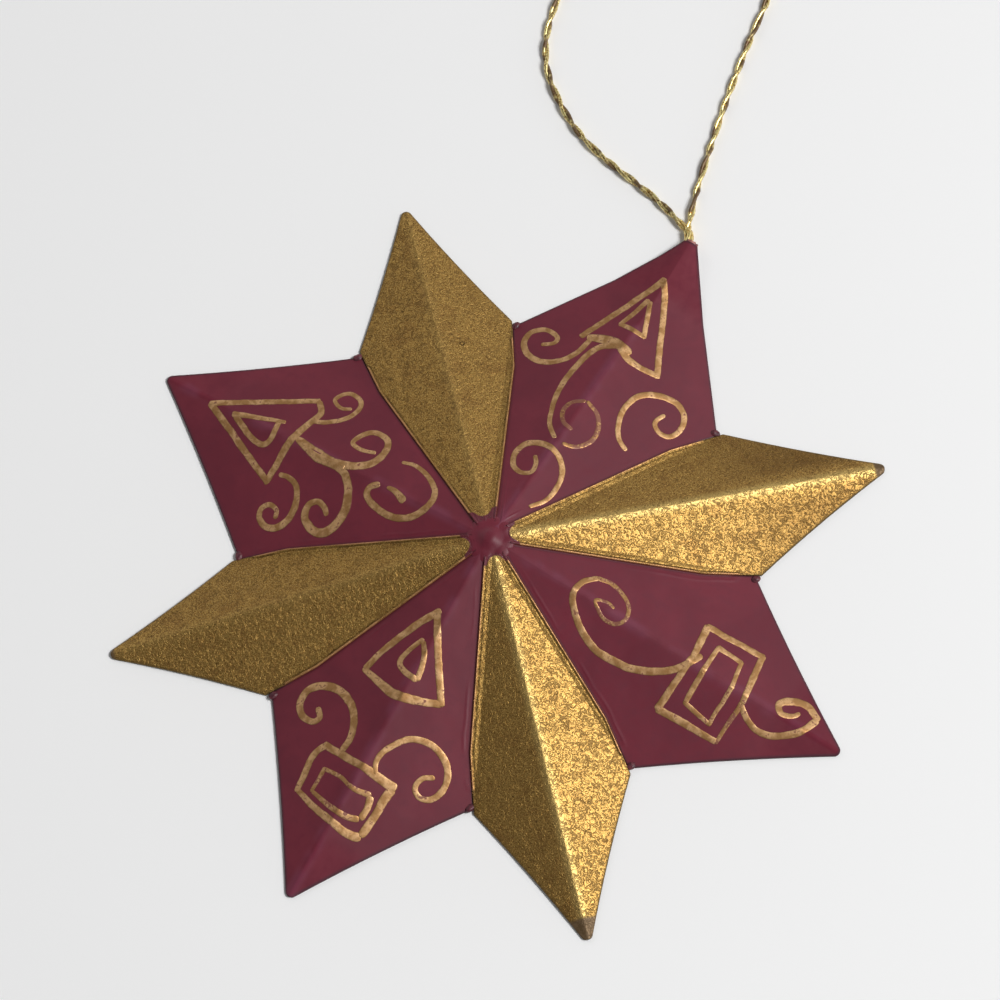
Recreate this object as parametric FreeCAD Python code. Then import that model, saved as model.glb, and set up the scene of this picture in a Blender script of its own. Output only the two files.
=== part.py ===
import FreeCAD, Part

# A hanging tin star with eight folded rays, four gold and four burgundy, and a twisted cord loop.
# It lies face up on its rim: +Z rises through the apex and +Y runs along the ray that it hangs by.
# Every ray is one kite of thin tinplate, folded on its ridge and open underneath. The burgundy
# rays carry flanges that lap under the gold rays, and solder holds the laps from behind.
# Millimetres throughout. Angles are degrees anticlockwise from +X, seen from the front.

import math
import os

os.makedirs("parts", exist_ok=True)
Vector = FreeCAD.Vector
UP = Vector(0, 0, 1)

# ---- driving dimensions --------------------------------------------------------------------

apex_rise = 10.2          # the apex over the rim, both on the inside of the sheet
gold_point = 54.9         # centre to where the straight edges of a gold ray would meet
burgundy_point = 53.97    # the same for a burgundy ray
notch_reach = 35.1        # centre to the notch between two rays
gold_half_angle = 18.12   # a gold ray's axis to its notch, seen from the centre
tip_round = 0.8           # the snipped and filed tips
edge_hollow = 0.25        # how far a snipped rim edge curves in between tip and notch

sheet = 0.25              # tinplate, measured square to its face
fold_radius = 0.7         # outside of the fold along each ridge
centre_hole = 0.9         # the rays stop at this radius, where solder joins them
nose_round = 0.25         # inner end of a gold ray

lip_width = 1.1           # turned-up edge of a gold ray, which lies on the burgundy sheet beyond the crease
lip_start = 2.05          # along the valley, where the lip begins
lip_corner = 0.45         # cut off the corner where it begins
lip_taper = 7.0           # it narrows over this length to nothing at the notch

flange_width = 2.4        # lap of a burgundy ray under a gold one
flange_start = 7.0        # along the valley, where the lap begins
flange_full = 12.5        # along the valley, where the lap has its full width
rim_clear = 1.1           # lap to the gold ray's rim
seam_leg = 0.7            # solder fillet along the lap's free edge
seam_fill = 0.36          # how full the fillet is: 0.5 would be flat from leg to leg

boss_radius = 1.3         # dome of solder over the meeting point
boss_crown = 0.25         # its top over the apex of the rays
puddle_radius = 2.3       # solder under the meeting point
puddle_depth = 0.9
drop_radius = 0.42        # solder at a notch, where it meets the rims
drop_height = 0.6
drop_slope = 0.24         # how far a drop draws in towards its top
drop_out = 0.15           # a drop's middle beyond its notch
drop_gap = 0.02           # a drop to the rims

funnel_start = 44.0       # along the hanging ray, where its tip begins to close round the cord
mouth_reach = 53.4        # centre to the mouth
mouth_radius = 1.05       # outside of the mouth
neck_radius = 0.675       # the two cord ends, twisted together and bound
fork_radius = 0.72        # the last turn of the binding, where the strands part
fork_reach = 55.15        # centre to the fork
fork_aside = 2.35         # the fork leans to the left of +Y by this much
neck_level_in = 1.5       # the neck lies level from this far inside the funnel
neck_turn_out = 0.55      # and turns aside this far outside the mouth
left_strand = 1.55        # fork to where each strand of the cord comes free
right_strand = 1.35

cord_diameter = 1.0
cord_sides = 10           # flats round the cord and its neck
floor_clear = 0.02        # cord and mouth over the surface that the rim rests on
knot_reach = 33.6         # centre to the middle of the knot inside the hanging ray
knot_length = 3.6
knot_radius = 1.5         # of its middle wrap
end_wrap_radius = 1.32    # of the wraps on each side
waist_radius = 1.08       # between two wraps
knot_clear = 0.15         # knot over the surface that the rim rests on
dab_reach = 40.2          # glue that holds the cord ends to the ray
dab_length = 5.0
dab_width = 4.2
dab_corner = 1.3          # cut off each corner of the dab
dab_height = 1.2          # its underside over the surface that the rim rests on
seal_length = 1.5         # enamel and glue in the mouth
seal_proud = 0.15
seal_gap = 0.02           # seal to the inside of the mouth

past = 1.0                # how far a cutting shape runs past what it cuts

# Rays in order round the star, anticlockwise from the one that hangs. Even places are burgundy.
RAYS = ["north", "northwest", "west", "southwest", "south", "southeast", "east", "northeast"]
SEAMS = ["nnw", "wnw", "wsw", "ssw", "sse", "ese", "ene", "nne"]

# The star is cut by hand: how far each tip and notch strays, outward and anticlockwise.
tip_stray = [(0.0, 0.8), (0.0, 0.0), (0.0, -0.4), (-0.6, -0.6), (0.0, 0.9), (-0.1, -0.4), (0.0, 0.2), (0.4, -0.2)]
notch_stray = [(-0.1, -0.1), (0.9, 0.2), (-0.1, 1.8), (0.0, -0.2), (-0.4, -0.8), (-0.7, 0.3), (0.3, -0.5), (0.2, -0.7)]
notch_drop = [1.0, 1.6, 1.35, 0.9, 1.2, 0.9, 1.2, 0.9]    # size of the solder at each notch, of drop_radius


# ---- the star's points and planes ----------------------------------------------------------

def polar(reach, angle):
    return Vector(reach * math.cos(math.radians(angle)), reach * math.sin(math.radians(angle)), 0)


def is_gold(place):
    return place % 2 == 1


def tip_point(place):
    outward, turn = tip_stray[place % 8]
    reach = gold_point if is_gold(place) else burgundy_point
    return polar(reach + outward, 90 + 45 * (place % 8) + turn)


def notch_point(place):
    """The notch between this ray and the next one anticlockwise."""
    outward, turn = notch_stray[place % 8]
    gold_axis = 90 + 45 * (place if is_gold(place) else place + 1)
    side = 1 if is_gold(place) else -1
    return polar(notch_reach + outward, gold_axis + side * gold_half_angle + turn)


def flat_unit(vector):
    return Vector(vector.x, vector.y, 0).normalize()


def left_of(direction):
    return Vector(-direction.y, direction.x, 0)


def facet_fall(place, side):
    """Gradient of a facet, as its fall per millimetre outward. Side 1 is anticlockwise of the ridge."""
    tip = tip_point(place)
    notch = notch_point(place if side > 0 else place - 1)
    area = tip.x * notch.y - tip.y * notch.x
    return Vector(apex_rise * (notch.y - tip.y) / area, apex_rise * (tip.x - notch.x) / area, 0)


def inner_height(fall, point):
    return apex_rise - fall.x * point.x - fall.y * point.y


def mitre(gold):
    """Where the burgundy rays on both sides of a gold one meet, near the centre: the line on which
    their sheets have the same height."""
    step = facet_fall(gold + 1, -1) - facet_fall(gold - 1, 1)
    return flat_unit(left_of(step) * left_of(step).dot(tip_point(gold)))


# The sheet's thickness measured upright is the same everywhere, so that laps stay in full contact.
even_fall = facet_fall(1, 1)
upright = sheet * math.sqrt(1 + even_fall.x ** 2 + even_fall.y ** 2)


class Valley:
    """The line between a burgundy ray and its gold neighbour, with the crease that the gold edge lies in."""

    def __init__(self, place, side):
        # place is the burgundy ray, side is 1 for its anticlockwise neighbour
        self.burgundy = place
        self.gold = (place + side) % 8
        self.side = side
        self.notch = notch_point(place if side > 0 else place - 1)
        self.along = flat_unit(self.notch)
        self.across = left_of(self.along) * side
        self.burgundy_fall = facet_fall(place, side)
        self.gold_fall = facet_fall(self.gold, -side)
        self.closing = (self.burgundy_fall - self.gold_fall).dot(self.across)
        self.crease = upright / self.closing

    def point(self, along, across):
        return self.along * along + self.across * across

    def rim_crossing(self, tip):
        """Where the crease line meets the rim edge that runs through this tip and the notch."""
        edge = flat_unit(self.notch - tip)
        return self.notch + edge * (self.crease / edge.dot(self.across))

    def lap_end(self, across):
        """How far along the valley a lap may run at this distance across, to stay inside the gold rim."""
        tip = tip_point(self.gold)
        inward = left_of(flat_unit(tip - self.notch))
        if inward.dot(self.notch) > 0:
            inward = inward * -1
        return (rim_clear + (self.notch - self.across * across).dot(inward)) / self.along.dot(inward)


# ---- small builders ------------------------------------------------------------------------

def line(start, end):
    return Part.LineSegment(start, end).toShape()


def arc(start, middle, end):
    return Part.Arc(start, middle, end).toShape()


def polygon_face(points):
    return Part.Face(Part.makePolygon(list(points) + [points[0]]))


def solid_from(faces):
    solid = Part.Solid(Part.Shell(faces))
    if solid.Volume < 0:
        solid.reverse()
    return solid


def plate(plan, low, high):
    """A plate over a plan polygon, between two sloping planes given as heights."""
    bottom = [Vector(p.x, p.y, low(p)) for p in plan]
    top = [Vector(p.x, p.y, high(p)) for p in plan]
    faces = [polygon_face(bottom), polygon_face(top)]
    for here in range(len(plan)):
        after = (here + 1) % len(plan)
        faces.append(polygon_face([bottom[here], bottom[after], top[after], top[here]]))
    return solid_from(faces)


def loft(sections):
    solid = Part.makeLoft(sections, True, True)
    if solid.Volume < 0:
        solid.reverse()
    return solid


def corner_arc(corner, toward_first, toward_second, radius):
    """Rounding of a corner: where it starts, its middle and where it ends."""
    first = flat_unit(toward_first - corner)
    second = flat_unit(toward_second - corner)
    half = first.getAngle(second) / 2
    middle = corner + flat_unit(first + second) * (radius / math.sin(half) - radius)
    reach = radius / math.tan(half)
    return corner + first * reach, middle, corner + second * reach


def rim_edge(start, end, hollow):
    """A snipped edge from start to end, curved in towards the centre of the star."""
    inward = left_of(flat_unit(end - start))
    if inward.dot(start + end) > 0:
        inward = inward * -1
    if hollow == 0:
        return line(start, end)
    return arc(start, (start + end) * 0.5 + inward * hollow, end)


def prism(edges):
    """Upright prism over a closed plan outline, taller than the star."""
    face = Part.Face(Part.Wire(Part.__sortEdges__(edges)))
    face.translate(UP * -past)
    return face.extrude(UP * (apex_rise + sheet + 2 * past))


def facet_slab(place, side):
    """The sheet of one facet before it is cut out: everything on one side of the ridge."""
    axis = flat_unit(tip_point(place))
    away = left_of(axis) * side
    fall = facet_fall(place, side)
    reach = 1.2 * gold_point
    plan = [axis * -centre_hole, axis * reach, axis * reach + away * reach, axis * -centre_hole + away * reach]
    return plate(plan, lambda p: inner_height(fall, p), lambda p: inner_height(fall, p) + upright)


def largest(shape):
    return max(shape.Solids, key=lambda solid: solid.Volume)


def soften_ridge(ray, place, end_reach):
    """Round the outside of the fold along the ridge."""
    axis = flat_unit(tip_point(place))
    for edge in ray.Edges:
        ends = [vertex.Point for vertex in edge.Vertexes]
        if len(ends) < 2 or abs(ends[0].dot(axis) - ends[1].dot(axis)) < end_reach / 2:
            continue
        heights = [apex_rise * (1 - point.dot(axis) / tip_point(place).Length) + upright for point in ends]
        on_ridge = all(abs(point.dot(left_of(axis))) < 0.01 for point in ends)
        if on_ridge and all(abs(point.z - height) < 0.01 for point, height in zip(ends, heights)):
            return ray.makeFillet(fold_radius, [edge])
    raise ValueError("no ridge found on the ray at place %d" % place)


# ---- the rays ------------------------------------------------------------------------------

def burgundy_outline(place, hollow):
    left = Valley(place, 1)
    right = Valley(place, -1)
    tip = tip_point(place)
    tip_left, tip_middle, tip_right = corner_arc(tip, left.notch, right.notch, tip_round)
    edges = [arc(tip_right, tip_middle, tip_left)]
    for valley, tip_end in ((left, tip_left), (right, tip_right)):
        meeting = mitre(valley.gold)
        inner = meeting * (valley.crease / meeting.dot(valley.across))
        outer = valley.rim_crossing(tip)
        edges += [rim_edge(tip_end, valley.notch, hollow), line(valley.notch, outer), line(outer, inner)]
        edges.append(line(inner, meeting * centre_hole))
    hole_middle = flat_unit(tip) * centre_hole
    ends = [mitre(valley.gold) * centre_hole for valley in (left, right)]
    edges.append(arc(ends[0], hole_middle, ends[1]))
    return edges


def lap_flange(valley):
    """The strip of a burgundy ray that bends up at the crease and lies under the gold sheet."""
    far = valley.crease + flange_width
    plan = [valley.point(flange_start, valley.crease), valley.point(flange_full, far),
            valley.point(valley.lap_end(far), far), valley.point(valley.lap_end(valley.crease), valley.crease)]
    fall = valley.gold_fall
    return plate(plan, lambda p: inner_height(fall, p) - upright, lambda p: inner_height(fall, p))


def gold_lip(valley):
    """The edge of a gold ray beyond the crease, bent up to lie on the outside of the burgundy sheet."""
    near = valley.crease - lip_width
    plan = [valley.point(lip_start, valley.crease), valley.point(lip_start + lip_corner, near),
            valley.point(valley.notch.Length - lip_taper, near), valley.rim_crossing(tip_point(valley.gold))]
    fall = valley.burgundy_fall
    return plate(plan, lambda p: inner_height(fall, p) + upright, lambda p: inner_height(fall, p) + 2 * upright)


def burgundy_ray(place, hollow=edge_hollow):
    outline = prism(burgundy_outline(place, hollow))
    pieces = [facet_slab(place, side).common(outline) for side in (1, -1)]
    pieces += [lap_flange(Valley(place, side)) for side in (1, -1)]
    ray = pieces[0].fuse(pieces[1:]).removeSplitter()
    return soften_ridge(largest(ray), place, burgundy_point)


def gold_ray(place):
    right = Valley((place - 1) % 8, 1)
    left = Valley((place + 1) % 8, -1)
    tip = tip_point(place)
    outer_left = left.rim_crossing(tip)
    outer_right = right.rim_crossing(tip)
    tip_left, tip_middle, tip_right = corner_arc(tip, outer_left, outer_right, tip_round)
    # the two creases meet at the nose: walk back along one until it crosses the other
    gap = (outer_right - outer_left).dot(right.across) / left.along.dot(right.across)
    nose = outer_left + left.along * gap
    nose_left, nose_middle, nose_right = corner_arc(nose, outer_left, outer_right, nose_round)
    edges = [arc(tip_right, tip_middle, tip_left), rim_edge(tip_left, outer_left, edge_hollow),
             line(outer_left, nose_left), arc(nose_left, nose_middle, nose_right),
             line(nose_right, outer_right), rim_edge(outer_right, tip_right, edge_hollow)]
    outline = prism(edges)
    halves = [facet_slab(place, side).common(outline) for side in (1, -1)]
    folded = soften_ridge(largest(halves[0].fuse(halves[1]).removeSplitter()), place, gold_point)
    return largest(folded.fuse([gold_lip(valley) for valley in (right, left)]).removeSplitter())


# ---- the hanging ray: its tip closes round the cord ------------------------------------------

north_axis = flat_unit(tip_point(0))
north_left = left_of(north_axis)
mouth_height = mouth_radius + floor_clear
bore_radius = mouth_radius - sheet


def north_point(reach, across, height):
    return north_axis * reach + north_left * across + UP * height


def ring_point(reach, radius, angle):
    return north_point(reach, radius * math.cos(math.radians(angle)),
                       mouth_height + radius * math.sin(math.radians(angle)))


def funnel_section(corners):
    return Part.makePolygon([north_point(funnel_start, across, height) for across, height in corners + corners[:1]])


def ring_section(radius):
    """The mouth as five arcs, one for each side of the section that it follows on from."""
    angles = [240, 190, 90, -10, -60, -120]
    edges = []
    for start, end in zip(angles, angles[1:]):
        edges.append(arc(*[ring_point(mouth_reach, radius, angle) for angle in (start, (start + end) / 2, end)]))
    return Part.Wire(edges)


def funnel():
    """The last stretch of the sheet, which rolls in from a folded ray to a round mouth."""
    tip = tip_point(0)
    ridge = apex_rise * (1 - funnel_start / tip.Length)
    right, left = [abs(notch.dot(north_left)) * (tip.Length - funnel_start) / (tip.Length - notch.dot(north_axis))
                   for notch in (notch_point(-1), notch_point(0))]
    outer = [(-right, 0), (-right, upright), (0, ridge + upright), (left, upright), (left, 0)]
    inner = [(-right + sheet, -past), (-right + sheet, ridge * sheet / right), (0, ridge),
             (left - sheet, ridge * sheet / left), (left - sheet, -past)]
    skin = loft([funnel_section(outer), ring_section(mouth_radius)])
    core = loft([funnel_section(inner), ring_section(bore_radius)])
    return skin.cut(core)


def hanging_ray():
    folded = burgundy_ray(0, 0)
    kept = Part.makeBox(2 * gold_point, 2 * gold_point, 2 * gold_point)
    kept.translate(Vector(-gold_point, funnel_start - 2 * gold_point, -gold_point))
    kept.rotate(Vector(0, 0, 0), UP, tip_stray[0][1])
    return largest(folded.common(kept).fuse(funnel()).removeSplitter())


# ---- solder --------------------------------------------------------------------------------

def solder_seam(valley):
    """A hollow fillet in the corner between a lap's free edge and the gold sheet, from behind."""
    edge = valley.crease + flange_width
    start = flange_full
    end = valley.lap_end(edge)

    def corner(across, below):
        point = valley.point(start, across)
        return Vector(point.x, point.y, inner_height(valley.gold_fall, point) - below)

    root = corner(edge, 0)
    foot = corner(edge, upright)
    toe = corner(edge + seam_leg, 0)
    hollow = root + (foot + toe - root * 2) * seam_fill
    run = valley.along * (end - start)
    return polygon_face([root, foot, hollow, toe]).extrude(run - UP * valley.gold_fall.dot(run))


def cap_arc(pole, rim):
    """Arc of a ball from a point on the upright axis to a point on the rim of its cap."""
    rise = pole.z - rim.z
    radius = (rim.x ** 2 + rise ** 2) / (2 * rise)
    centre = pole - UP * radius
    middle = centre + ((pole + rim) * 0.5 - centre).normalize() * abs(radius)
    return arc(pole, middle, rim)


def centre_solder(rays):
    """Solder dome, plug and puddle in one, where the eight rays meet. The sheet is cut out of it."""
    fall = apex_rise * (1 / burgundy_point + 1 / notch_reach) / 2
    middle = apex_rise + upright / 2
    crown = Vector(0, 0, apex_rise + upright + boss_crown)
    base = Vector(0, 0, apex_rise - puddle_depth)
    brim = Vector(boss_radius, 0, middle - fall * boss_radius)
    edge = Vector(puddle_radius, 0, middle - fall * puddle_radius)
    profile = Part.Wire([cap_arc(crown, brim), line(brim, edge), cap_arc(base, edge), line(base, crown)])
    blank = Part.Face(profile).revolve(Vector(0, 0, 0), UP, 360)
    return largest(blank.cut(rays))


def notch_solder(place):
    """A drop of solder in the corner where two rims meet, cut by the two rims and by what they rest on."""
    valley = Valley(place, 1) if not is_gold(place) else Valley((place + 1) % 8, -1)
    radius = drop_radius * notch_drop[place]
    corner = valley.notch + valley.along * drop_gap
    rims = [corner + flat_unit(tip_point(side) - valley.notch) * 4 * radius for side in (place, place + 1)]
    between = polygon_face([corner, rims[0], corner + valley.along * 4 * radius, rims[1]])
    drop = Part.makeCone(radius, radius - drop_slope, drop_height, valley.notch + valley.along * drop_out)
    return largest(drop.common(between.extrude(UP * drop_height)))


# ---- the cord, its bound ends and what holds them --------------------------------------------

def rounded_path(points):
    """Straight runs joined by tangent arcs, each as large as the shorter of its two runs allows."""
    edges = []
    radii = []
    here = points[0]
    for before, corner, after in zip(points, points[1:], points[2:]):
        back = before - corner
        on = after - corner
        half = (math.pi - back.getAngle(on)) / 2
        reach = 0.45 * min(back.Length, on.Length)
        radii.append(reach / math.tan(half))
        back.normalize()
        on.normalize()
        start = corner + back * reach
        end = corner + on * reach
        inward = (back + on).normalize()
        middle = corner + inward * (radii[-1] / math.cos(half) - radii[-1])
        edges += [line(here, start), arc(start, middle, end)]
        here = end
    edges.append(line(here, points[-1]))
    return Part.Wire(edges), radii


def ring_of_flats(centre, direction, radius):
    """The section of a cord: a regular polygon square to its direction."""
    side = left_of(direction).normalize()
    rise = side.cross(direction).normalize()
    corners = [centre + (side * math.cos(turn) + rise * math.sin(turn)) * radius
               for turn in [2 * math.pi * step / cord_sides for step in range(cord_sides)]]
    return Part.makePolygon(corners + corners[:1])


def tube(points, radius):
    path, radii = rounded_path(points)
    ring = ring_of_flats(points[0], points[1] - points[0], radius)
    return path.makePipeShell([ring], True, False), path.Length, radii


def rod(start, end, radius):
    return Part.Face(ring_of_flats(start, end - start, radius)).extrude(end - start)


# The neck leaves the mouth, leans over towards the cord's bow and forks into the two strands.
knot_height = knot_radius + knot_clear
neck_start = north_point(knot_reach + knot_length / 2, 0, knot_height)
neck_level = north_point(funnel_start + neck_level_in, 0, mouth_height)
neck_mouth = north_point(mouth_reach + neck_turn_out, 0, mouth_height)
neck_fork = Vector(-fork_aside, fork_reach, fork_radius + floor_clear)

# The cord from one exit to the other, bow first. It lies on the surface that the rim rests on.
lying = cord_diameter / 2 + floor_clear
CORD_BOW = [
    (-7.4, 57.0), (-12.6, 58.0), (-18.2, 58.95), (-23.6, 60.6), (-28.6, 63.6), (-32.6, 66.9), (-35.4, 71.5),
    (-36.9, 76.9), (-37.5, 82.7), (-36.8, 88.9), (-34.3, 94.8), (-29.9, 99.3), (-23.9, 101.6), (-17.6, 100.9),
    (-12.9, 97.2), (-10.75, 91.9), (-10.05, 86.4), (-9.05, 80.9), (-7.95, 75.5), (-6.72, 70.2), (-5.4, 64.9),
    (-4.25, 60.5),
]
on_surface = [Vector(x, y, lying) for x, y in CORD_BOW]
left_exit = neck_fork + (on_surface[0] - neck_fork).normalize() * left_strand
right_exit = neck_fork + (on_surface[-1] - neck_fork).normalize() * right_strand
cord_route = [left_exit] + on_surface + [right_exit]


def bound_neck():
    body, _, _ = tube([neck_start, neck_level, neck_mouth, neck_fork], neck_radius)
    fork = Part.makeSphere(fork_radius, neck_fork)
    strands = [rod(neck_fork, end, cord_diameter / 2) for end in (left_exit, right_exit)]
    return body.fuse([fork] + strands).removeSplitter()


def cord_knot():
    """The two ends tied together: a barrel of three wraps that can't pull through the mouth."""
    wrap = knot_length / 3
    profile = [(0, 0), (0, neck_radius)]
    for turn, radius in enumerate([end_wrap_radius, knot_radius, end_wrap_radius]):
        profile += [((turn + 0.3) * wrap, radius), ((turn + 0.7) * wrap, radius), ((turn + 1) * wrap, waist_radius)]
    profile += [(knot_length, neck_radius), (knot_length, 0)]
    start = north_point(knot_reach - knot_length / 2, 0, knot_height)
    corners = [start + north_axis * along + UP * out for along, out in profile]
    return polygon_face(corners).revolve(start, north_axis, 360)


def glue_dab(rays, neck):
    """A dab of glue that fills the ridge over the cord ends and holds them there."""
    half_length = dab_length / 2
    half_width = dab_width / 2
    quarter = [(half_length, half_width - dab_corner), (half_length - dab_corner, half_width)]
    plan = quarter + [(-along, across) for along, across in quarter[::-1]]
    plan += [(-along, -across) for along, across in plan]
    face = polygon_face([north_point(dab_reach + along, across, dab_height) for along, across in plan])
    ridge = apex_rise * (1 - dab_reach / tip_point(0).Length)
    block = face.extrude(UP * (ridge + upright / 2 - dab_height))
    return largest(block.cut([rays[0], neck]))


def mouth_seal(neck):
    """Enamel and glue that closes the mouth round the neck."""
    inner_end = north_point(mouth_reach - seal_length, 0, mouth_height)
    body = Part.makeCylinder(bore_radius - seal_gap, seal_length + seal_proud, inner_end, north_axis)
    return largest(body.cut(neck))


# ---- put together ----------------------------------------------------------------------------

rays = [hanging_ray()] + [gold_ray(place) if is_gold(place) else burgundy_ray(place) for place in range(1, 8)]
pieces = {"hanging_ray_north": rays[0]}
for place in range(1, 8):
    colour = "gold" if is_gold(place) else "burgundy"
    pieces["%s_ray_%s" % (colour, RAYS[place])] = rays[place]
for place, name in enumerate(SEAMS):
    seam_valley = Valley((place + 1) % 8, -1) if is_gold(place) else Valley(place, 1)
    pieces["solder_seam_" + name] = solder_seam(seam_valley)
pieces["centre_solder"] = centre_solder(rays)
pieces["notch_solder_drops"] = Part.makeCompound([notch_solder(place) for place in range(8)])
pieces["cord_neck"] = bound_neck()
pieces["cord_knot"] = cord_knot()
pieces["cord_glue_dab"] = glue_dab(rays, pieces["cord_neck"])
pieces["mouth_seal"] = mouth_seal(pieces["cord_neck"])
cord, cord_length, bend_radii = tube(cord_route, cord_diameter / 2)
pieces["hanging_cord"] = cord

section = Part.Face(ring_of_flats(left_exit, on_surface[0] - left_exit, cord_diameter / 2)).Area
print("cord: length %.1f mm, volume %.2f of %.2f mm3" % (cord_length, cord.Volume, section * cord_length))
print("cord: bend radii " + " ".join("%.1f" % radius for radius in bend_radii))
for name, shape in pieces.items():
    box = shape.BoundBox
    print("%-24s %2d solids  valid %s  %9.3f mm3  z %.3f to %.3f" % (
        name, len(shape.Solids), shape.isValid(), shape.Volume, box.ZMin, box.ZMax))
    shape.exportStep(os.path.join("parts", name + ".step"))
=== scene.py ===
import math

import bpy
from mathutils import Matrix, Vector, noise
from mathutils.bvhtree import BVHTree
from mathutils.kdtree import KDTree


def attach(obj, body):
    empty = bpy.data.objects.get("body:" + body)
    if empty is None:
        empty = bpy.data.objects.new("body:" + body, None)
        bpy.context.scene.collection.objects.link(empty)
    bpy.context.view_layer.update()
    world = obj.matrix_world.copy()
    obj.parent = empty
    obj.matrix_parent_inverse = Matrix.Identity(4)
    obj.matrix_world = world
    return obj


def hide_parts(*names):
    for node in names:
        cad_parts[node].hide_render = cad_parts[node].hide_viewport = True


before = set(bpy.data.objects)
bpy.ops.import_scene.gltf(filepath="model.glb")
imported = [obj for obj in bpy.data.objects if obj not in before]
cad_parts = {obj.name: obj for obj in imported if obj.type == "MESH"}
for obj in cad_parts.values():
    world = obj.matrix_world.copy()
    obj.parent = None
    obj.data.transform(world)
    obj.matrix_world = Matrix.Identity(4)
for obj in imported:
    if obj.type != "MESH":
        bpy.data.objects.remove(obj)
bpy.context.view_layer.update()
bpy.context.scene.view_settings.view_transform = "Standard"
mm = 0.001

# ---- the view --------------------------------------------------------------------------------
# The star lies face up on a pale floor. It is seen from high on its right-hand side through a long
# lens, with the picture turned a little, so that the ray that hangs points up and to the right.

aim = Vector((-4.25, 8.21, 0)) * mm
azimuth = math.radians(41.43)
elevation = math.radians(69.0)
roll = math.radians(-10.605)
distance = 543.97 * mm
lens_length = 144.0
film_width = 36.0
photo_side = 1000

back = Vector((math.sin(azimuth) * math.cos(elevation), -math.cos(azimuth) * math.cos(elevation),
               math.sin(elevation)))
level_right = Vector((math.cos(azimuth), math.sin(azimuth), 0))
level_up = back.cross(level_right)
right = level_right * math.cos(roll) + level_up * math.sin(roll)
up = level_up * math.cos(roll) - level_right * math.sin(roll)
eye = aim + back * distance


def in_scene(name, data):
    thing = bpy.data.objects.new(name, data)
    bpy.context.scene.collection.objects.link(thing)
    return thing


camera = in_scene("camera", bpy.data.cameras.new("camera"))
camera.data.lens = lens_length
camera.data.sensor_width = film_width
camera.matrix_world = Matrix.Translation(eye) @ Matrix((right, up, back)).transposed().to_4x4()
bpy.context.scene.camera = camera


def sight(pixel):
    """The direction from the eye through a pixel of the photograph."""
    across = (pixel[0] / photo_side - 0.5) * film_width / lens_length
    down = (pixel[1] / photo_side - 0.5) * film_width / lens_length
    return (right * across - up * down - back).normalized()


# ---- light and floor ---------------------------------------------------------------------------
# A pale floor that runs to the horizon, a soft lamp high on the right, a weak one opposite, and a
# studio whose walls are pale at the horizon and dim overhead, where the metal mirrors them.

def operators(operation):
    """An operator for a wire on its left, and its reflected form for a wire on its right."""
    def plain(wire, other):
        return wire.tree.maths(operation, wire, other)

    def reflected(wire, other):
        return wire.tree.maths(operation, other, wire)
    return plain, reflected


class Wire:
    """A socket that stands for a number. Maths on it adds Math nodes to its tree."""

    __add__, __radd__ = operators("ADD")
    __sub__, __rsub__ = operators("SUBTRACT")
    __mul__, __rmul__ = operators("MULTIPLY")
    __truediv__, __rtruediv__ = operators("DIVIDE")

    def __init__(self, tree, socket):
        self.tree = tree
        self.socket = socket

    def __abs__(self):
        return self.tree.maths("ABSOLUTE", self)

    def rise(self, low, high):
        """0 below low, 1 above high and smooth between. It falls instead where low is the larger."""
        return self.tree.get(0, "ShaderNodeMapRange", {"interpolation_type": "SMOOTHSTEP"},
                             {0: self, 1: low, 2: high})

    def hump(self, middle, width):
        """1 at the middle, falling to 0 at a width on each side."""
        return abs(self - middle).rise(width, 0)


class Tree:
    """A node tree, with one way to add a node: its settings first, then what its sockets hold."""

    def __init__(self, nodes):
        self.nodes = nodes

    def add(self, kind, settings=None, sockets=None):
        node = self.nodes.nodes.new(kind)
        for name, value in (settings or {}).items():
            setattr(node, name, value)
        for place, value in (sockets or {}).items():
            self.fill(node.inputs[place], value)
        return node

    def fill(self, socket, value):
        if isinstance(value, Wire):
            self.nodes.links.new(value.socket, socket)
        else:
            socket.default_value = value

    def get(self, output, kind, settings=None, sockets=None):
        return Wire(self, self.add(kind, settings, sockets).outputs[output])

    def maths(self, operation, *values):
        return self.get(0, "ShaderNodeMath", {"operation": operation}, dict(enumerate(values)))

    def vectors(self, operation, *values, output=0):
        return self.get(output, "ShaderNodeVectorMath", {"operation": operation}, dict(enumerate(values)))

    def scaled(self, vector, factor):
        return self.get(0, "ShaderNodeVectorMath", {"operation": "SCALE"}, {0: vector, 3: factor})

    def vector(self, x=0, y=0, z=0):
        return self.get(0, "ShaderNodeCombineXYZ", None, {0: x, 1: y, 2: z})

    def height_of(self, vector):
        return self.get("Z", "ShaderNodeSeparateXYZ", None, {0: vector})

    def away(self, place, spot):
        """The distance from a spot, in millimetres."""
        return self.vectors("DISTANCE", place, spot, output="Value") / mm

    def shape(self, kind, settings=None, **sockets):
        """What a geometry node makes. In the names of its sockets, _ stands for a space."""
        return self.get(0, "GeometryNode" + kind, settings,
                        {name.replace("_", " "): value for name, value in sockets.items()})

    def mixed(self, share, low, high):
        """Two colours mixed: the first at 0, the second at 1."""
        return self.get(2, "ShaderNodeMix", {"data_type": "RGBA"}, {0: share, 6: low, 7: high})

    def grain(self, place, size, detail=2.0, distortion=0.0, flat=True):
        """Noise with features of about this size in metres, read across or all round."""
        return self.get(0, "ShaderNodeTexNoise", {"noise_dimensions": "2D" if flat else "3D"},
                        {"Vector": place, "Scale": 1 / size, "Detail": detail, "Distortion": distortion})


def paint(red, green, blue):
    """A colour as it is seen on a screen, 0 to 255, as the linear colour that a socket holds."""
    def linear(level):
        level /= 255
        return level / 12.92 if level <= 0.04045 else ((level + 0.055) / 1.055) ** 2.4
    return linear(red), linear(green), linear(blue), 1.0


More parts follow.
